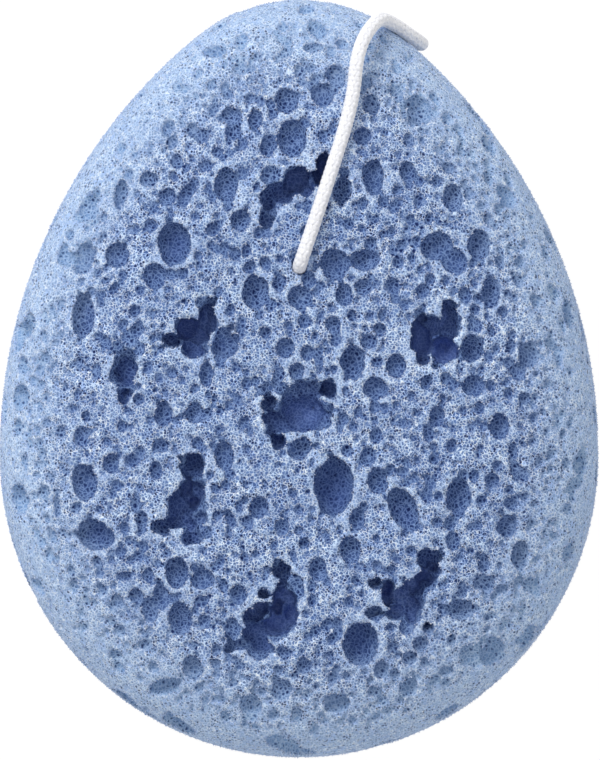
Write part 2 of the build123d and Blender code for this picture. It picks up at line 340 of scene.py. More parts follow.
def make_knot():
    """The knot that closes the loop: the cord's ends wrapped round it and led out beside it."""
    way = []
    tail_y, tail_z = TAIL_OFFSET
    for x in np.arange(-TAIL_REACH, -WRAP_REACH - 0.6, 1.4):
        way.append((x, tail_y, tail_z))
    first = math.atan2(tail_z, tail_y)
    steps = int(WRAPS * 12)
    for step in range(steps + 1):
        share = step / steps
        swell = 1.2 * (math.exp(-share * 60) + math.exp(-(1 - share) * 60))
        angle = first + share * 2 * math.pi * WRAPS
        radius = WRAP_RADIUS + swell
        x = -WRAP_REACH + 2 * WRAP_REACH * share
        way.append((x, radius * math.cos(angle), radius * math.sin(angle)))
    last = way[-1]
    for x in np.arange(WRAP_REACH + 0.6, TAIL_REACH + 0.1, 1.4):
        ease = min(1.0, (x - WRAP_REACH) / 2.4)
        way.append((x, last[1] + (tail_y - last[1]) * ease, last[2] + (tail_z - last[2]) * ease))
    points = spline_points([tuple(KNOT_PLACE + place) for place in way])
    corners, quads = braid(points, KNOT_CORD, step=0.35)
    groups, faces = [corners], [quads]
    for tip, out in ((points[0], -1), (points[-1], 1)):
        centre = tip + np.array([0.15 * out, 0, 0])
        more, more_faces = bead(centre, KNOT_CORD * 0.5, 0.8, sum(map(len, groups)))
        groups.append(more)
        faces.append(more_faces)
    return mesh_piece("loop_knot", np.concatenate(groups), np.concatenate(faces))


# ---------------------------------------------------------------- the foam
def outline_reach(angle):
    """Distance from the middle to the egg's outline in each direction."""
    across, along = np.abs(np.cos(angle)), np.sin(angle)
    rise = HALF_LENGTH - WIDEST_LEVEL
    side_radius = (HALF_WIDTH**2 + rise**2 - 2 * rise * NARROW_RADIUS) / (2 * (HALF_WIDTH - NARROW_RADIUS))
    turn = math.atan2(HALF_LENGTH - NARROW_RADIUS - WIDEST_LEVEL, side_radius - HALF_WIDTH)
    blend_x = HALF_WIDTH - side_radius + side_radius * math.cos(turn)
    blend_y = WIDEST_LEVEL + side_radius * math.sin(turn)
    blunt = HALF_LENGTH + WIDEST_LEVEL
    a = (across / HALF_WIDTH) ** 2 + (along / blunt) ** 2
    b = along * WIDEST_LEVEL / blunt**2
    c = (WIDEST_LEVEL / blunt) ** 2 - 1
    lower = (b + np.sqrt(b * b - a * c)) / a

    def arc(centre_x, centre_y, radius):
        nearest = across * centre_x + along * centre_y
        return nearest + np.sqrt(np.maximum(nearest**2 - centre_x**2 - centre_y**2 + radius**2, 0))

    lean = np.arctan2(along, across)
    sides = arc(HALF_WIDTH - side_radius, WIDEST_LEVEL, side_radius)
    narrow = arc(0.0, HALF_LENGTH - NARROW_RADIUS, NARROW_RADIUS)
    upper = np.where(lean < math.atan2(blend_y, blend_x), sides, narrow)
    return np.where(lean < math.atan2(WIDEST_LEVEL, HALF_WIDTH), lower, upper)


def body_gauge(x, y, z):
    """1 on the rounded edge's surface, less inside."""
    share = np.hypot(x, y) / outline_reach(np.arctan2(y, x))
    rise = np.abs(z - HALF_THICKNESS) / HALF_THICKNESS * math.sin(FACE_TURN) ** (2 / FULLNESS)
    return (share**FULLNESS + rise**FULLNESS) ** (1 / FULLNESS)


def body_distance(x, y, z):
    """Rough signed distance to the smooth pad, less than 0 inside. x, y and z broadcast."""
    step = 0.05
    here = body_gauge(x, y, z)
    slope = np.sqrt(
        ((body_gauge(x + step, y, z) - here) / step) ** 2
        + ((body_gauge(x, y + step, z) - here) / step) ** 2
        + ((body_gauge(x, y, z + step) - here) / step) ** 2
    )
    edge = (here - 1) / np.maximum(slope, 0.004)
    face = np.abs(z - HALF_THICKNESS) - HALF_THICKNESS
    return np.maximum(edge, face)


# Bubbles of the front face: x, y, size across, size along, lean in degrees
front_bubbles = [
    (-15.7, 60.3, 4.8, 2.6, 0), (-9.1, 56.9, 2.0, 2.0, 0), (-8.9, 51.5, 2.0, 2.0, 0),
    (-8.1, 47.6, 2.6, 4.1, 0), (-4.8, 48.5, 1.9, 1.9, 0), (-2.2, 51.1, 4.1, 4.8, 0),
    (-12.6, 48.5, 3.3, 3.0, 0), (-12.2, 45.4, 2.8, 3.0, 0), (-15.2, 41.5, 1.9, 1.9, 0),
    (-5.7, 42.6, 2.8, 4.0, 0), (-1.3, 44.1, 4.8, 6.7, 0), (-10.2, 43.3, 2.0, 2.0, 0),
    (-17.2, 39.1, 2.4, 2.4, 0), (-13.5, 35.6, 4.1, 6.2, 0), (-5.5, 37.1, 3.0, 3.0, 0),
    (-20.7, 33.9, 2.4, 4.4, -25), (-27.7, 36.7, 3.3, 2.8, 0), (-24.4, 33.4, 3.2, 3.2, 0),
    (-32.9, 33.7, 2.6, 5.5, 0), (-37.5, 33.6, 2.0, 3.3, 0), (-27.4, 28.2, 2.4, 2.4, 0),
    (-10.7, 29.1, 3.7, 4.1, 0), (-15.7, 27.5, 2.5, 2.5, 0), (-22.9, 24.7, 5.9, 7.8, 0),
    (-33.5, 22.8, 4.4, 4.6, 0), (-26.5, 18.8, 3.9, 4.8, 0), (-32.4, 19.1, 2.0, 2.0, 0),
    (-24.2, 46.3, 2.5, 3.0, 0), (-23.3, 43.4, 2.3, 2.8, 0), (-22.5, 40.0, 2.3, 2.8, 0),
    (-19.8, 45.6, 2.3, 2.8, 0), (4.4, 52.2, 4.0, 4.5, 0), (2.6, 60.9, 3.3, 1.9, 0),
    (8.0, 61.5, 2.4, 2.0, 0), (13.3, 50.4, 3.3, 4.0, 0), (12.4, 54.4, 2.2, 2.4, 0),
    (18.0, 52.6, 2.4, 3.6, 25), (20.4, 52.6, 1.2, 1.2, 0), (23.3, 50.7, 1.8, 1.8, 0),
    (11.7, 44.5, 3.3, 3.1, 0), (13.7, 37.1, 3.7, 6.2, 0), (20.0, 37.8, 3.0, 4.0, 0),
    (25.4, 36.3, 2.2, 2.2, 0), (28.3, 33.4, 3.5, 5.2, 0), (27.6, 38.6, 2.2, 2.2, 0),
    (17.4, 31.3, 2.0, 2.0, 0), (18.1, 34.5, 1.9, 1.9, 0), (17.0, 26.9, 1.9, 1.9, 0),
    (33.1, 24.7, 4.3, 5.4, 0), (34.9, 37.0, 2.2, 3.0, 0), (38.6, 36.7, 2.0, 3.0, 0),
    (27.4, 47.9, 2.5, 2.5, 0), (25.3, 24.3, 5.6, 5.0, 30), (28.6, 21.6, 4.5, 5.0, 30),
    (-11.8, 22.8, 2.4, 2.4, 0), (-8.0, 15.8, 4.8, 6.3, 0), (-3.5, 17.7, 2.6, 3.0, 0),
    (0.2, 14.9, 4.4, 4.2, 0), (-29.8, 8.9, 2.6, 2.6, 0), (-39.8, 11.5, 4.0, 8.0, 0),
    (-25.7, 0.0, 1.7, 1.7, 0), (-23.3, 1.1, 2.2, 2.2, 0), (-17.0, 0.8, 2.4, 4.5, 0),
    (-2.6, 5.6, 3.4, 3.7, 0), (-6.3, 8.6, 2.2, 2.2, 0), (-0.5, 1.2, 2.6, 3.7, 0),
    (-25.0, -6.6, 3.3, 4.6, 0), (-19.2, -6.4, 3.6, 3.6, 0), (-29.4, -3.9, 2.2, 2.2, 0),
    (-40.1, -10.7, 2.6, 3.5, 0), (-25.3, -12.2, 3.2, 2.6, 0), (-18.7, -11.9, 2.2, 2.2, 0),
    (-34.6, -15.6, 2.8, 3.7, 0), (-30.5, -15.1, 2.8, 2.4, 0), (-26.3, -16.9, 2.5, 3.2, 0),
    (-39.4, -19.1, 4.7, 6.2, 0), (-13.7, -14.3, 3.5, 5.2, 0), (-9.0, -9.5, 1.2, 2.5, 0),
    (6.5, 21.0, 5.2, 5.6, 0), (12.0, 21.7, 5.4, 3.9, 0), (1.8, 18.2, 2.6, 3.0, 0), (8.3, 15.3, 3.2, 4.0, 0),
    (11.7, 16.9, 3.1, 3.1, 0), (17.2, 16.9, 2.8, 2.8, 0), (17.6, 14.7, 2.2, 2.2, 0),
    (22.7, 16.0, 2.6, 2.6, 0), (30.5, 15.2, 2.2, 3.0, 0), (35.3, 15.8, 3.5, 5.5, 0),
    (6.3, 9.9, 2.8, 3.3, 0), (1.1, 10.4, 2.4, 2.4, 0), (14.2, 14.3, 1.2, 1.2, 0), (12.9, 6.9, 3.3, 2.6, 0),
    (14.8, 9.0, 2.6, 2.6, 0), (9.8, 3.0, 4.4, 6.2, 0), (1.5, 4.7, 2.6, 3.0, 0), (17.9, 2.3, 3.6, 4.2, 0),
    (14.0, -1.8, 4.2, 4.0, 0), (8.5, -2.3, 1.7, 1.7, 0), (23.3, -0.8, 2.3, 3.0, 0),
    (32.0, -1.4, 4.0, 3.7, 0), (33.3, -5.5, 2.0, 2.4, 0), (36.8, -8.8, 3.6, 4.8, 0),
    (25.3, -6.9, 3.0, 3.8, 0), (21.5, -6.4, 1.6, 1.6, 0), (23.7, -10.2, 1.9, 3.0, 0),
    (40.3, 1.2, 3.3, 3.0, 0), (39.0, 6.0, 1.9, 2.6, 0), (39.4, -13.4, 2.0, 2.8, 0),
    (14.2, -10.6, 2.4, 2.8, 0), (12.6, -14.3, 2.7, 3.5, 0), (14.4, -18.8, 3.6, 4.8, 0),
    (18.9, -17.1, 2.4, 2.0, 0), (21.1, -18.2, 1.7, 1.7, 0), (32.2, -18.0, 1.9, 2.6, 0),
    (35.5, -18.8, 2.8, 2.8, 0), (41.4, -17.7, 2.2, 2.6, 0), (6.4, -19.7, 7.2, 10.6, 0),
    (29.3, -21.6, 4.4, 6.5, 0), (19.2, -24.3, 4.8, 8.2, 25), (-37.5, -28.8, 6.8, 5.4, -20),
    (-44.6, -23.6, 1.5, 4.0, 0), (-32.7, -31.9, 2.0, 2.0, 0), (-22.4, -35.6, 4.2, 5.9, 0),
    (-27.7, -36.2, 2.1, 2.7, 0), (-32.2, -36.4, 2.6, 1.9, 0), (-17.8, -36.9, 4.0, 3.6, 0),
    (-14.4, -33.6, 1.5, 2.4, 0), (-13.9, -38.2, 1.9, 2.6, 0), (-30.0, -39.9, 2.6, 2.7, 0),
    (-25.3, -40.2, 3.0, 4.5, 0), (-27.4, -43.2, 2.7, 3.5, 0), (-21.8, -44.3, 4.0, 6.1, 0),
    (-33.5, -40.8, 2.2, 2.2, 0), (-17.8, -40.8, 2.4, 1.9, 0), (-11.2, -39.7, 2.9, 3.7, 0),
    (-12.7, -25.6, 1.8, 3.4, 25), (-11.0, -23.5, 1.6, 2.4, 0), (-9.9, -32.8, 1.9, 1.8, 0),
    (-3.1, -27.3, 2.5, 2.9, 0), (-17.4, -44.7, 2.2, 2.2, 0), (-19.6, -53.2, 3.6, 4.6, 0),
    (-25.0, -56.9, 6.5, 3.0, 20), (-33.8, -51.0, 3.0, 2.2, 0), (-8.9, -60.2, 4.1, 4.2, 0),
    (-3.0, -57.3, 3.4, 3.7, 0), (-6.7, -57.8, 1.7, 1.7, 0), (-5.7, -59.1, 1.3, 1.3, 0),
    (-7.4, -23.6, 3.5, 4.0, 0), (10.7, -25.8, 3.0, 4.0, 0), (9.4, -31.4, 4.0, 4.8, 0),
    (0.9, -30.3, 2.2, 2.2, 0), (3.5, -35.1, 3.3, 4.0, 0), (28.3, -29.9, 2.4, 3.4, 0),
    (38.3, -27.3, 3.5, 4.0, 0), (40.7, -32.5, 3.2, 5.4, 0), (34.0, -34.0, 2.2, 3.3, 0),
    (37.0, -34.3, 1.5, 1.5, 0), (33.1, -37.5, 2.4, 2.9, 0), (37.4, -38.8, 2.6, 2.0, 0),
    (42.9, -26.6, 1.7, 1.7, 0), (29.8, -42.5, 5.3, 3.4, 0), (23.9, -46.0, 2.2, 2.2, 0),
    (17.0, -45.8, 1.9, 1.9, 0), (19.8, -45.8, 2.8, 2.6, 0), (11.3, -48.8, 6.3, 8.1, 0),
    (22.4, -48.8, 2.9, 2.9, 0), (28.1, -48.0, 1.7, 2.2, 0), (30.9, -50.8, 2.7, 4.1, 0),
    (20.5, -51.4, 2.8, 2.6, 0), (15.2, -53.6, 2.4, 3.4, 0), (27.2, -53.9, 3.0, 2.2, 0),
    (20.2, -56.9, 3.3, 3.7, 0), (13.9, -57.6, 2.6, 2.2, 0), (7.0, -59.9, 4.6, 3.9, 0),
    (0.9, -52.8, 2.6, 3.3, 0), (39.0, -22.9, 2.5, 2.5, 0), (17.2, -49.5, 1.8, 1.8, 0),
    (1.3, -43.2, 1.3, 1.3, 0),
]

# Hollows where several bubbles run together: x, y, size across, size along, depth
front_hollows = [
    # behind the cord
    (-6.0, 29.6, 3.1, 4.2, 4), (-5.6, 32.5, 3.6, 4.7, 5), (-3.0, 34.1, 5.2, 4.4, 6),
    (-0.3, 36.2, 5.4, 5.4, 8), (1.3, 35.0, 3.6, 3.6, 6), (3.4, 36.8, 3.4, 3.4, 7), (4.6, 39.1, 3.0, 5.2, 8),
    (7.9, 34.3, 3.4, 4.8, 3.5), (-5.1, 37.0, 3.7, 3.4, 1.6),
    # left of the middle
    (-20.3, 9.2, 4.8, 4.5, 10), (-23.3, 6.8, 4.2, 2.8, 5), (-16.8, 10.5, 3.6, 7.0, 7),
    (-15.9, 14.0, 2.7, 2.4, 3), (-19.4, 5.6, 4.5, 4.9, 6), (-18.3, 8.0, 4.4, 4.2, 8),
    (-13.7, 6.8, 4.8, 5.6, 3.6),
    # right of the middle
    (22.5, 7.5, 4.2, 8.5, 9), (22.8, 5.8, 4.2, 4.0, 10), (22.7, 3.6, 2.7, 2.4, 6),
    (26.8, 5.3, 5.7, 5.3, 10), (27.7, 10.8, 4.2, 7.8, 7), (27.7, 13.6, 3.4, 2.2, 2.5),
    (24.9, 9.3, 3.4, 4.1, 7), (31.6, 5.3, 4.4, 5.2, 3.5), (25.1, 2.3, 1.6, 1.6, 2),
    # the middle
    (0.6, -6.6, 9.0, 6.8, 7.5), (1.4, -2.2, 6.7, 4.5, 4.5), (5.4, -1.9, 3.3, 3.5, 6),
    (4.0, -6.6, 4.5, 5.7, 4.5), (-5.3, -4.5, 3.1, 3.1, 5), (-4.2, -8.0, 5.3, 4.9, 6),
    (-3.8, -11.5, 3.4, 3.1, 6), (0.1, -12.5, 4.4, 4.4, 3), (-1.5, -4.4, 4.0, 3.6, 6),
    (-6.4, -2.1, 2.4, 2.6, 1.2), (-3.3, -1.8, 3.0, 2.8, 1.2),
    # lower left
    (-19.7, -16.1, 4.8, 5.6, 5), (-20.6, -20.2, 2.9, 3.6, 9.5), (-19.3, -23.0, 2.3, 2.9, 8.5),
    (-18.8, -21.2, 3.2, 5.4, 6), (-21.7, -23.5, 5.2, 6.4, 6.5), (-22.7, -26.3, 3.7, 2.7, 6.5),
    (-20.4, -26.2, 3.2, 3.4, 6), (-18.4, -25.6, 2.6, 3.0, 3.5), (-19.6, -29.2, 4.1, 3.4, 4),
    (-25.8, -27.3, 3.8, 3.0, 4.6), (-28.7, -26.2, 2.4, 4.0, 2.4),
    # lower middle
    (-3.0, -35.2, 3.7, 4.1, 4.5), (-3.3, -37.9, 2.4, 2.2, 6), (-0.6, -38.3, 3.5, 5.4, 1.8),
    (-6.4, -39.9, 2.5, 2.5, 4), (-2.8, -41.3, 4.8, 5.6, 8), (-4.0, -43.3, 3.0, 3.6, 11),
    (-1.9, -43.8, 3.4, 5.0, 9), (-4.3, -46.0, 4.8, 4.0, 9), (-8.5, -43.9, 4.2, 3.9, 6),
    (-6.8, -42.4, 3.6, 3.6, 7), (-8.0, -47.3, 5.0, 4.4, 6), (-7.3, -49.8, 4.6, 3.2, 5),
    (-12.8, -49.6, 2.8, 2.4, 3.2), (-10.6, -49.2, 2.6, 2.2, 2.5), (-12.2, -46.0, 3.0, 4.2, 1.4),
    # lower right
    (24.1, -33.2, 4.6, 4.3, 5), (25.2, -35.3, 2.8, 2.8, 8), (23.1, -36.9, 4.2, 3.6, 9),
    (21.2, -38.7, 4.4, 3.8, 7.5), (19.1, -40.6, 4.6, 4.3, 7), (16.5, -39.8, 2.8, 5.2, 9),
    (14.1, -37.6, 2.8, 2.1, 3.4), (20.7, -41.9, 4.8, 3.4, 6.5), (18.6, -43.2, 5.0, 2.6, 6),
    (13.8, -43.1, 3.1, 2.3, 3.4), (20.7, -44.3, 2.1, 2.6, 5), (23.9, -45.6, 2.2, 2.0, 3),
    # left
    (-32.2, 1.3, 5.1, 6.3, 5), (-32.2, -2.7, 3.1, 3.9, 4.5),
]


def smooth_noise(shape, cell, dice):
    """Soft random values on the grid, with about one swing in each cell, as many voxels wide."""
    coarse = [int(math.ceil(n / cell)) + 3 for n in shape]
    value = dice.standard_normal(coarse).astype(np.float32)
    for axis, n in enumerate(shape):
        place = np.arange(n) / cell
        base = place.astype(int)
        part = (place - base).astype(np.float32)
        part = part * part * (3 - 2 * part)
        shape_of_part = [1, 1, 1]
        shape_of_part[axis] = n
        part = part.reshape(shape_of_part)
        value = np.take(value, base, axis) * (1 - part) + np.take(value, base + 1, axis) * part
    return value


class FoamField:
    """Signed distances on a grid of small cubes, from which bubbles are cut one by one."""

    def __init__(self, dice):
        self.low = np.array([-HALF_WIDTH - 2.5, -HALF_LENGTH - 2.5, -2.5])
        size = np.array([HALF_WIDTH * 2 + 5, HALF_LENGTH * 2 + 5, HALF_THICKNESS * 2 + 5])
        self.count = np.ceil(size / VOXEL).astype(int) + 1
        self.axes = [self.low[a] + VOXEL * np.arange(self.count[a]) for a in range(3)]
        x, y, z = np.meshgrid(*self.axes, indexing="ij", sparse=True)
        self.skin = np.clip(body_distance(x, y, z), -14, 14).astype(np.float32)
        self.field = self.skin.copy()
        coarse = smooth_noise(self.skin.shape, 4.2, dice)
        fine = smooth_noise(self.skin.shape, 2.1, dice)
        self.wobble = coarse + 0.5 * fine

    def cut(self, centre, radii, axes=None, blend=0.2, ragged=0.0):
        """Takes out an ellipsoid of three radii along the axes, with a more or less ragged wall."""
        span = max(radii) + 1.6
        start = np.maximum(((centre - span - self.low) / VOXEL).astype(int), 0)
        stop = np.minimum(((centre + span - self.low) / VOXEL).astype(int) + 2, self.count)
        if (stop <= start).any():
            return
        offsets = [self.axes[a][start[a]:stop[a]] - centre[a] for a in range(3)]
        x, y, z = np.meshgrid(*offsets, indexing="ij", sparse=True)
        if axes is None:
            u, v, w = x, y, z
        else:
            u, v, w = (x * axis[0] + y * axis[1] + z * axis[2] for axis in axes)
        near = np.sqrt((u / radii[0]) ** 2 + (v / radii[1]) ** 2 + (w / radii[2]) ** 2)
        steep = np.sqrt((u / radii[0] ** 2) ** 2 + (v / radii[1] ** 2) ** 2 + (w / radii[2] ** 2) ** 2)
        hole = -near * (near - 1) / np.maximum(steep, 1e-6)
        block = tuple(slice(start[a], stop[a]) for a in range(3))
        hole = hole + ragged * self.wobble[block]
        part = self.field[block]
        mix = np.maximum(blend - np.abs(part - hole), 0) / blend
        part[...] = np.maximum(part, hole) + mix * mix * blend / 4

    def look_up(self, grid, places):
        """Values of a grid at places in millimetres, blended between its cubes."""
        spot = (places - self.low) / VOXEL
        base = np.clip(np.floor(spot).astype(int), 0, self.count - 2)
        part = np.clip(spot - base, 0, 1)
        value = 0.0
        for corner in range(8):
            step = np.array([corner & 1, corner >> 1 & 1, corner >> 2 & 1])
            weight = np.prod(np.where(step, part, 1 - part), axis=1)
            place = base + step
            value = value + weight * grid[place[:, 0], place[:, 1], place[:, 2]]
        return value

    def mesh(self):
        """Corners and quads of the foam's surface. With no adaptivity there are no triangles."""
        grid = openvdb.FloatGrid(5.0)
        grid.copyFromArray(self.field, tolerance=0.0)
        corners, _, quads = grid.convertToPolygons(isovalue=0.0, adaptivity=0.0)
        return corners * VOXEL + self.low, quads


def skin_height(x, y, side):
    """Height of the smooth skin at a place of the front (1) or back (-1)."""
    share = math.hypot(x, y) / float(outline_reach(np.array(math.atan2(y, x))))
    flat = math.sin(FACE_TURN) ** (2 / FULLNESS)
    rise = min((1 - min(share, 0.9999) ** FULLNESS) ** (1 / FULLNESS) / flat, 1.0)
    return HALF_THICKNESS * (1 + side * rise)


def facing(place):
    """Outward direction of the smooth pad at a place on its skin."""
    step = 0.3
    x, y, z = place
    slope = np.array([
        body_distance(x + step, y, z) - body_distance(x - step, y, z),
        body_distance(x, y + step, z) - body_distance(x, y - step, z),
        body_distance(x, y, z + step) - body_distance(x, y, z - step),
    ]).reshape(3)
    return slope / np.linalg.norm(slope)


def cut_bubble(foam, place, out, across, along, lean=0.0, depth=None, ragged=0.09):
    """Cuts an open bubble of the given size across the skin, leaning by some degrees."""
    if depth is None:
        depth = 0.6 * (across + along) / 2
    up = np.array([0.0, 1.0, 0.0]) if abs(out[1]) < 0.9 else np.array([1.0, 0.0, 0.0])
    first = np.cross(up, out)
    first /= np.linalg.norm(first)
    second = np.cross(out, first)
    turn = math.radians(lean)
    u = first * math.cos(turn) + second * math.sin(turn)
    v = -first * math.sin(turn) + second * math.cos(turn)
    # The centre lies under the skin, so the bubble is widest there and its mouth has the given size
    sunk, reach = 0.28, 0.72  # shares of the depth over and under the centre
    widen = 1 / math.sqrt(1 - (sunk / reach) ** 2)
    radii = (across / 2 * widen, along / 2 * widen, reach * depth)
    foam.cut(place - out * (sunk * depth), radii, (u, v, out), ragged=ragged)


def box_blur(grid, reach):
    """Mean of the grid over a cube that reaches so many voxels each way."""
    for axis in range(3):
        margin = [(reach + 1, reach) if a == axis else (0, 0) for a in range(3)]
        total = np.cumsum(np.pad(grid, margin, mode="edge"), axis)
        count = grid.shape[axis]
        high = np.take(total, np.arange(count) + 2 * reach + 1, axis)
        low = np.take(total, np.arange(count), axis)
        grid = (high - low) / (2 * reach + 1)
    return grid


def scatter_face(count, sizes, room, taken, dice):
    """Seeded places for bubbles on a face, clear of what is taken: x, y, size."""
    share_limit = 0.93
    placed = []
    for _ in range(count * 6):
        if len(placed) >= count:
            break
        x = dice.uniform(-HALF_WIDTH, HALF_WIDTH)
        y = dice.uniform(-HALF_LENGTH, HALF_LENGTH)
        if math.hypot(x, y) > share_limit * float(outline_reach(np.array(math.atan2(y, x)))):
            continue
        size = sizes[0] + (sizes[1] - sizes[0]) * dice.random() ** 2.2
        gap = np.hypot(taken[:, 0] - x, taken[:, 1] - y) - taken[:, 2] / 2 - size / 2
        if gap.min() < room:
            continue
        placed.append((x, y, size))
        taken = np.vstack([taken, (x, y, size)])
    return placed, taken


def largest_shell(corners, faces):
    """Corners and faces of the largest connected shell, so that no crumb of foam floats in a hollow."""
    label = np.arange(len(corners))
    while True:
        low = label[faces].min(axis=1)
        fresh = label.copy()
        for column in faces.T:
            np.minimum.at(fresh, column, low)
        fresh = fresh[fresh]
        if np.array_equal(fresh, label):
            break
        label = fresh
    shell = label[faces[:, 0]]
    used, kept = np.unique(faces[shell == np.bincount(shell).argmax()], return_inverse=True)
    return corners[used], kept.reshape(-1, 3)


def make_foam():
    dice = np.random.default_rng(FOAM_SEED)
    foam = FoamField(dice)
    listed = [(x, y, (across + along) / 2) for x, y, across, along, _ in front_bubbles + front_hollows]
    for x, y, across, along, lean in front_bubbles:
        place = np.array([x, y, skin_height(x, y, 1)])
        cut_bubble(foam, place, facing(place), across, along, lean)
    for x, y, across, along, depth in front_hollows:
        place = np.array([x, y, skin_height(x, y, 1)])
        cut_bubble(foam, place, facing(place), across, along, 0.0, depth, ragged=0.38)
    # Small bubbles between them, then the larger and smaller ones of the back
    start = np.array(listed + [(0.0, HOLE_Y, 3.2)])
    small, _ = scatter_face(FRONT_SMALL, (0.9, 2.1), -0.2, start, dice)
    for x, y, size in small:
        place = np.array([x, y, skin_height(x, y, 1)])
        cut_bubble(foam, place, facing(place), size, size * dice.uniform(1.0, 1.35), dice.uniform(-30, 30))
    run = np.array([(DENT_RUN[0] * t, HOLE_Y + DENT_RUN[1] * t, 3.4) for t in np.linspace(0, 1, 24)])
    large, taken = scatter_face(BACK_LARGE, (2.4, 8.0), 0.5, run, dice)
    small, _ = scatter_face(BACK_SMALL, (0.9, 2.2), -0.25, taken, dice)
    for x, y, size in large + small:
        place = np.array([x, y, skin_height(x, y, -1)])
        cut_bubble(foam, place, facing(place), size, size * dice.uniform(1.0, 1.35), dice.uniform(-30, 30))
    # The rim all round
    for _ in range(RIM_BUBBLES):
        angle = dice.uniform(-math.pi, math.pi)
        level = HALF_THICKNESS + dice.uniform(-0.9, 0.9) * HALF_THICKNESS
        rise = abs(level - HALF_THICKNESS) / HALF_THICKNESS * math.sin(FACE_TURN) ** (2 / FULLNESS)
        share = (1 - rise**FULLNESS) ** (1 / FULLNESS)
        span = float(outline_reach(np.array(angle))) * share
        place = np.array([span * math.cos(angle), span * math.sin(angle), level])
        size = 0.9 + 4.2 * dice.random() ** 4
        cut_bubble(foam, place, facing(place), size, size * dice.uniform(1.0, 1.4), dice.uniform(-30, 30))
    fine = smooth_noise(foam.field.shape, 1.9, dice) * 0.09
    coarse = smooth_noise(foam.field.shape, 4.5, dice) * 0.06
    foam.field += fine + coarse
    foam.field = np.maximum(foam.field, foam.skin)
    # The hole and the dent of the cord
    for level in np.arange(-1.0, 47.5, 0.8):
        foam.cut(np.array([0.0, HOLE_Y, level]), (1.4, 1.4, 1.4), blend=0.1)
    for end in (0.0, 2 * HALF_THICKNESS):
        foam.cut(np.array([0.1, HOLE_Y + 0.8, end]), (1.5, 2.2, 1.8))
    for share in np.linspace(0, 1.05, 90):
        x, y = DENT_RUN[0] * share, HOLE_Y + DENT_RUN[1] * share
        foam.cut(np.array([x, y, 1.35]), (1.55, 1.55, 1.6), blend=0.1)
        foam.cut(np.array([x, y, 0.2]), (1.7, 1.7, 1.7), blend=0.1)
    corners, quads = foam.mesh()
    faces = np.concatenate([quads[:, [0, 1, 2]], quads[:, [0, 2, 3]]])
    corners, faces = largest_shell(corners, faces)
    # Reversed like this, the faces look into the foam, and so do the normals that make_fibres reads
    piece = mesh_piece("foam_pad", corners, faces[:, ::-1])
    thin = piece.modifiers.new("thin", "DECIMATE")
    thin.ratio = min(1.0, FOAM_TRIANGLES / len(faces))
    bpy.context.view_layer.update()
    depsgraph = bpy.context.evaluated_depsgraph_get()
    mesh = bpy.data.meshes.new_from_object(piece.evaluated_get(depsgraph))
    piece.modifiers.clear()
    old = piece.data
    piece.data = mesh
    bpy.data.meshes.remove(old)
    mesh.name = "foam_pad"
    print("foam triangles", len(mesh.polygons))
    places = corners_of(mesh)
    # Share of solid foam round each corner; the material uses it to colour exposed thin edges lighter as
    # painted light
    solid = (foam.field < 0).astype(np.float32)
    near = foam.look_up(box_blur(solid, 5), places)
    depth = -foam.look_up(foam.skin, places)
    share = np.hypot(places[:, 0], places[:, 1]) / outline_reach(np.arctan2(places[:, 1], places[:, 0]))
    for name, value in (("depth", depth), ("near", near), ("share", share)):
        layer = mesh.attributes.new(name, "FLOAT", "POINT")
        layer.data.foreach_set("value", value.astype(np.float32))
    return piece


def make_fibres(piece, count):
    """Ends of cut struts, a closed pyramid each.

    The foam's normals point into it, so nearly all the spikes do too, and what stands out of the skin
    is their base, by up to 0.2 mm.
    """
    dice = np.random.default_rng(FIBRE_SEED)
    mesh = piece.data
    places = corners_of(mesh)
    outward = np.empty(len(mesh.vertices) * 3, np.float32)
    mesh.vertices.foreach_get("normal", outward)
    outward = outward.reshape(-1, 3).astype(np.float64)
    depth = np.empty(len(places), np.float32)
    mesh.attributes["depth"].data.foreach_get("value", depth)
    standing = np.flatnonzero((depth < 0.45) & (places[:, 2] > 3.0))
    chosen = dice.choice(standing, count, replace=False)
    root = places[chosen]
    lean = outward[chosen] + dice.normal(0, 0.45, (count, 3))
    lean /= np.linalg.norm(lean, axis=1, keepdims=True)
    side = np.cross(lean, dice.normal(0, 1, (count, 3)))
    side /= np.linalg.norm(side, axis=1, keepdims=True)
    other = np.cross(lean, side)
    length = dice.uniform(0.25, 0.75, (count, 1))
    width = dice.uniform(0.06, 0.11, (count, 1))
    base = root - lean * 0.2
    turns = (0, 2 * math.pi / 3, 4 * math.pi / 3)
    corners = [base + width * (side * math.cos(turn) + other * math.sin(turn)) for turn in turns]
    corners = np.stack(corners + [root + lean * length], 1).reshape(-1, 3)
    start = np.arange(count)[:, None] * 4
    pyramid = ((0, 1, 3), (1, 2, 3), (2, 0, 3), (2, 1, 0))
    faces = np.concatenate([start + np.array(face) for face in pyramid])
    return mesh_piece("foam_fibres", corners, faces, smooth=False)


# ---------------------------------------------------------------- materials
def linear(red, green, blue):
    """A colour as it looks on a screen, 0 to 255, as the linear one that a shader takes."""
    values = [c / 255 for c in (red, green, blue)]
    return tuple(c / 12.92 if c <= 0.04045 else ((c + 0.055) / 1.055) ** 2.4 for c in values) + (1.0,)


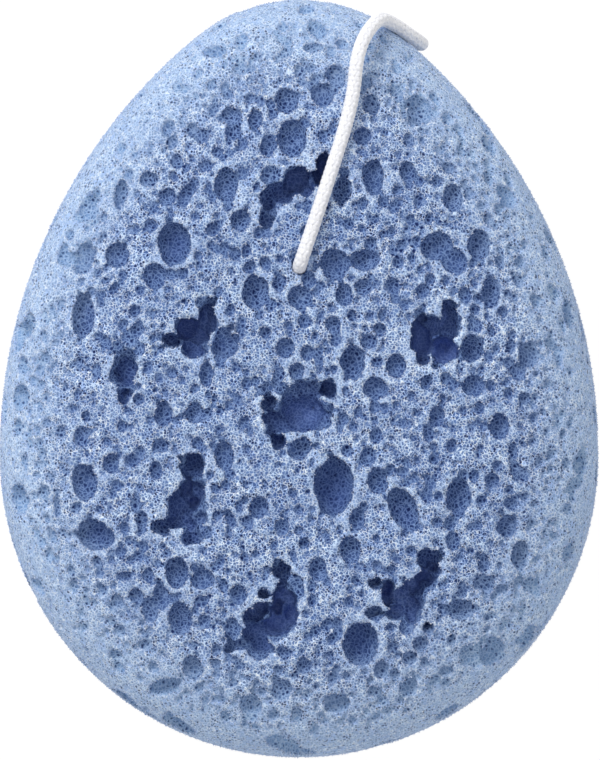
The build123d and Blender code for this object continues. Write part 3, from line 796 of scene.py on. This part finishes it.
class Nodes:
    """Short calls that add linked nodes to a material."""

    def __init__(self, name):
        self.material = bpy.data.materials.new(name)
        self.material.use_nodes = True
        self.tree = self.material.node_tree
        self.shader = self.tree.nodes["Principled BSDF"]

    def put(self, value, socket):
        if isinstance(value, bpy.types.NodeSocket):
            self.tree.links.new(value, socket)
        else:
            socket.default_value = value

    def add(self, kind, settings=None, **inputs):
        node = self.tree.nodes.new(kind)
        for key, value in (settings or {}).items():
            setattr(node, key, value)
        for key, value in inputs.items():
            self.put(value, node.inputs[key.replace("_", " ")])
        return node

    def math(self, operation, first, second):
        node = self.tree.nodes.new("ShaderNodeMath")
        node.operation = operation
        self.put(first, node.inputs[0])
        self.put(second, node.inputs[1])
        return node.outputs[0]

    def span(self, value, low, high, start=0.0, end=1.0):
        node = self.tree.nodes.new("ShaderNodeMapRange")
        node.interpolation_type = "SMOOTHSTEP"
        for place, number in zip((0, 1, 2, 3, 4), (value, low, high, start, end)):
            self.put(number, node.inputs[place])
        return node.outputs[0]

    def mix(self, share, first, second):
        node = self.tree.nodes.new("ShaderNodeMix")
        node.data_type = "RGBA"
        self.put(share, node.inputs["Factor"])
        self.put(first, node.inputs["A"])
        self.put(second, node.inputs["B"])
        return node.outputs[2]

    def times(self, first, second):
        return self.math("MULTIPLY", first, second)

    def attribute(self, name):
        return self.add("ShaderNodeAttribute", {"attribute_name": name}).outputs["Fac"]


# Cells of the foam's nets in a metre
MICRO_CELLS = 1850.0
WALL_CELLS = 1350.0
RIDGE_CELLS = 520.0


def foam_material():
    made = Nodes("foam")
    place = made.add("ShaderNodeTexCoord").outputs["Object"]
    wander = made.add("ShaderNodeTexNoise", Vector=place, Scale=1500.0, Detail=0.0)
    bent = made.add("ShaderNodeVectorMath", {"operation": "MULTIPLY_ADD"})
    made.put(wander.outputs["Color"], bent.inputs[0])
    bent.inputs[1].default_value = (0.00045,) * 3
    made.put(place, bent.inputs[2])
    spot = bent.outputs[0]
    # Thin bright cell edges over round micro cells, some of which are open, with painted shade coloured
    # into them
    to_edge = {"feature": "DISTANCE_TO_EDGE"}
    edge = made.add("ShaderNodeTexVoronoi", to_edge, Vector=spot, Scale=MICRO_CELLS)
    web = made.span(edge.outputs["Distance"], 0.07, 0.13, 1.0, 0.0)
    cell = made.add("ShaderNodeTexVoronoi", Vector=spot, Scale=MICRO_CELLS)
    chance = made.add("ShaderNodeSeparateColor", Color=cell.outputs["Color"]).outputs
    disc = made.span(cell.outputs["Distance"], 0.38, 0.45, 1.0, 0.0)
    # A wider net: ridges painted lighter round shallow cells of about two millimetres, painted light and
    # shade of shallow dimples
    net = made.add("ShaderNodeTexVoronoi", Vector=place, Scale=RIDGE_CELLS)
    ridge = made.span(net.outputs["Distance"], 0.32, 0.62)
    grain = made.add("ShaderNodeTexNoise", Vector=place, Scale=950.0, Detail=1.0).outputs["Fac"]
    fray = made.add("ShaderNodeTexNoise", Vector=place, Scale=1500.0, Detail=0.0).outputs["Fac"]
    depth = made.math("ADD", made.attribute("depth"), made.span(fray, 0.3, 0.7, -0.28, 0.28))
    share = made.attribute("share")
    patch = made.add("ShaderNodeTexNoise", Vector=place, Scale=110.0, Detail=0.0).outputs["Fac"]
    calm = made.span(share, 0.70, 0.96)
    lively = made.times(made.span(calm, 0.0, 1.0, 1.0, 0.82), made.span(patch, 0.35, 0.65, 0.8, 1.0))
    open_cell = made.times(made.span(chance[0], 0.3, 0.7), made.span(ridge, 0.0, 1.0, 1.0, 0.45))
    # Painted shade: open micro cells coloured deep navy, less so on the lighter ridges
    painted_pore_shade = made.times(made.times(disc, open_cell), lively)
    # Painted highlight: the struts of some cells are coloured near white as glints
    glint = made.times(made.span(chance[1], 0.5, 0.8), web)
    web = made.times(made.times(web, lively), made.span(grain, 0.3, 0.6, 0.62, 1.0))
    # The bubbles' walls have the same net with wider cells
    wall_edge = made.add("ShaderNodeTexVoronoi", to_edge, Vector=spot, Scale=WALL_CELLS)
    mesh_web = made.times(made.span(wall_edge.outputs["Distance"], 0.04, 0.12, 0.75, 0.0), lively)
    pore = made.span(wall_edge.outputs["Distance"], 0.2, 0.27)
    # Three depths: the cut face, the bubbles' walls and the deep hollows. Walls and hollows are coloured
    # darker as painted shade in recesses, and the deepest hollows lighter again as painted light that lifts
    # the render's own shade
    # Painted light: struts and body are coloured lighter on the ridges of the wider net
    strut = made.mix(ridge, linear(178, 206, 252), linear(206, 228, 255))
    # Painted highlight on the struts
    strut = made.mix(glint, strut, linear(240, 248, 255))
    body = made.mix(ridge, linear(70, 98, 154), linear(104, 132, 184))
    body = made.mix(calm, body, linear(154, 180, 218))
    # Painted light: where little foam lies round a corner, the edge is coloured lighter, more so away from
    # the pad's rim
    exposed_edge_light_mask = made.span(made.attribute("near"), 0.44, 0.30)
    rim = made.times(exposed_edge_light_mask, made.span(calm, 0.0, 1.0, 0.6, 0.1))
    face = made.mix(web, made.mix(rim, body, linear(166, 190, 230)), strut)
    # Painted shade of the open micro cells
    face = made.mix(painted_pore_shade, face, linear(18, 32, 80))
    strut = made.mix(calm, linear(146, 174, 220), linear(206, 226, 246))
    body = made.mix(calm, linear(74, 100, 152), linear(140, 172, 213))
    # Painted shade: pores of the walls and hollows coloured deep navy
    painted_wall_pore_shade = made.times(made.times(pore, made.span(fray, 0.4, 0.6)), lively)
    wall = made.mix(painted_wall_pore_shade, made.mix(mesh_web, body, strut), linear(24, 40, 90))
    deep = made.mix(mesh_web, linear(64, 88, 144), linear(110, 136, 192))
    deep = made.mix(painted_wall_pore_shade, deep, linear(30, 46, 100))
    deepest = made.mix(mesh_web, linear(104, 132, 200), linear(146, 172, 230))
    # Painted shade deeper under the skin, then painted light in the deepest hollows
    colour = made.mix(made.span(depth, 0.18, 0.65), face, wall)
    colour = made.mix(made.span(depth, 2.6, 5.0), colour, deep)
    colour = made.mix(made.span(depth, 5.0, 9.0), colour, deepest)
    made.put(colour, made.shader.inputs["Base Color"])
    made.shader.inputs["Roughness"].default_value = 0.85
    made.shader.inputs["Specular IOR Level"].default_value = 0.2
    height = made.math("ADD", web, made.times(ridge, 1.2))
    bump = made.add("ShaderNodeBump", Height=height, Strength=0.6)
    bump.inputs["Distance"].default_value = 0.0002
    made.put(bump.outputs["Normal"], made.shader.inputs["Normal"])
    return made.material


def fibre_material():
    made = Nodes("foam_fibres")
    place = made.add("ShaderNodeTexCoord").outputs["Object"]
    tone = made.add("ShaderNodeTexNoise", Vector=place, Scale=700.0, Detail=1.0).outputs["Fac"]
    colour = made.mix(made.span(tone, 0.3, 0.7), linear(146, 166, 208), linear(226, 234, 250))
    made.put(colour, made.shader.inputs["Base Color"])
    made.shader.inputs["Roughness"].default_value = 0.7
    return made.material


def cord_material():
    made = Nodes("cord")
    place = made.add("ShaderNodeTexCoord").outputs["Object"]
    fleck = made.add("ShaderNodeTexNoise", Vector=place, Scale=2600.0, Detail=2.0).outputs["Fac"]
    colour = made.mix(made.span(fleck, 0.3, 0.7), linear(230, 231, 238), linear(248, 248, 250))
    made.put(colour, made.shader.inputs["Base Color"])
    made.shader.inputs["Roughness"].default_value = 0.55
    made.shader.inputs["Sheen Weight"].default_value = 0.2
    return made.material


# ---------------------------------------------------------------- the scene
scene = bpy.context.scene
scene.view_settings.view_transform = "Standard"
make_camera()
make_world(0.85)
area_light("key", (-0.48, 0.7, 0.9), (0, 0, 0.02), 0.6, 8.4)
make_floor()

cord, cord_line, cord_length = make_cord()
cord.data.materials.append(cord_material())
foam_piece = make_foam()
foam_piece.data.materials.append(foam_material())
fibres = make_fibres(foam_piece, FIBRE_COUNT)
fibres.data.materials.append(fibre_material())
knot = make_knot()
knot.data.materials.append(cord.data.materials[0])
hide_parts("sponge_body")
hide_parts("hang_cord")
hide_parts("cord_knot")
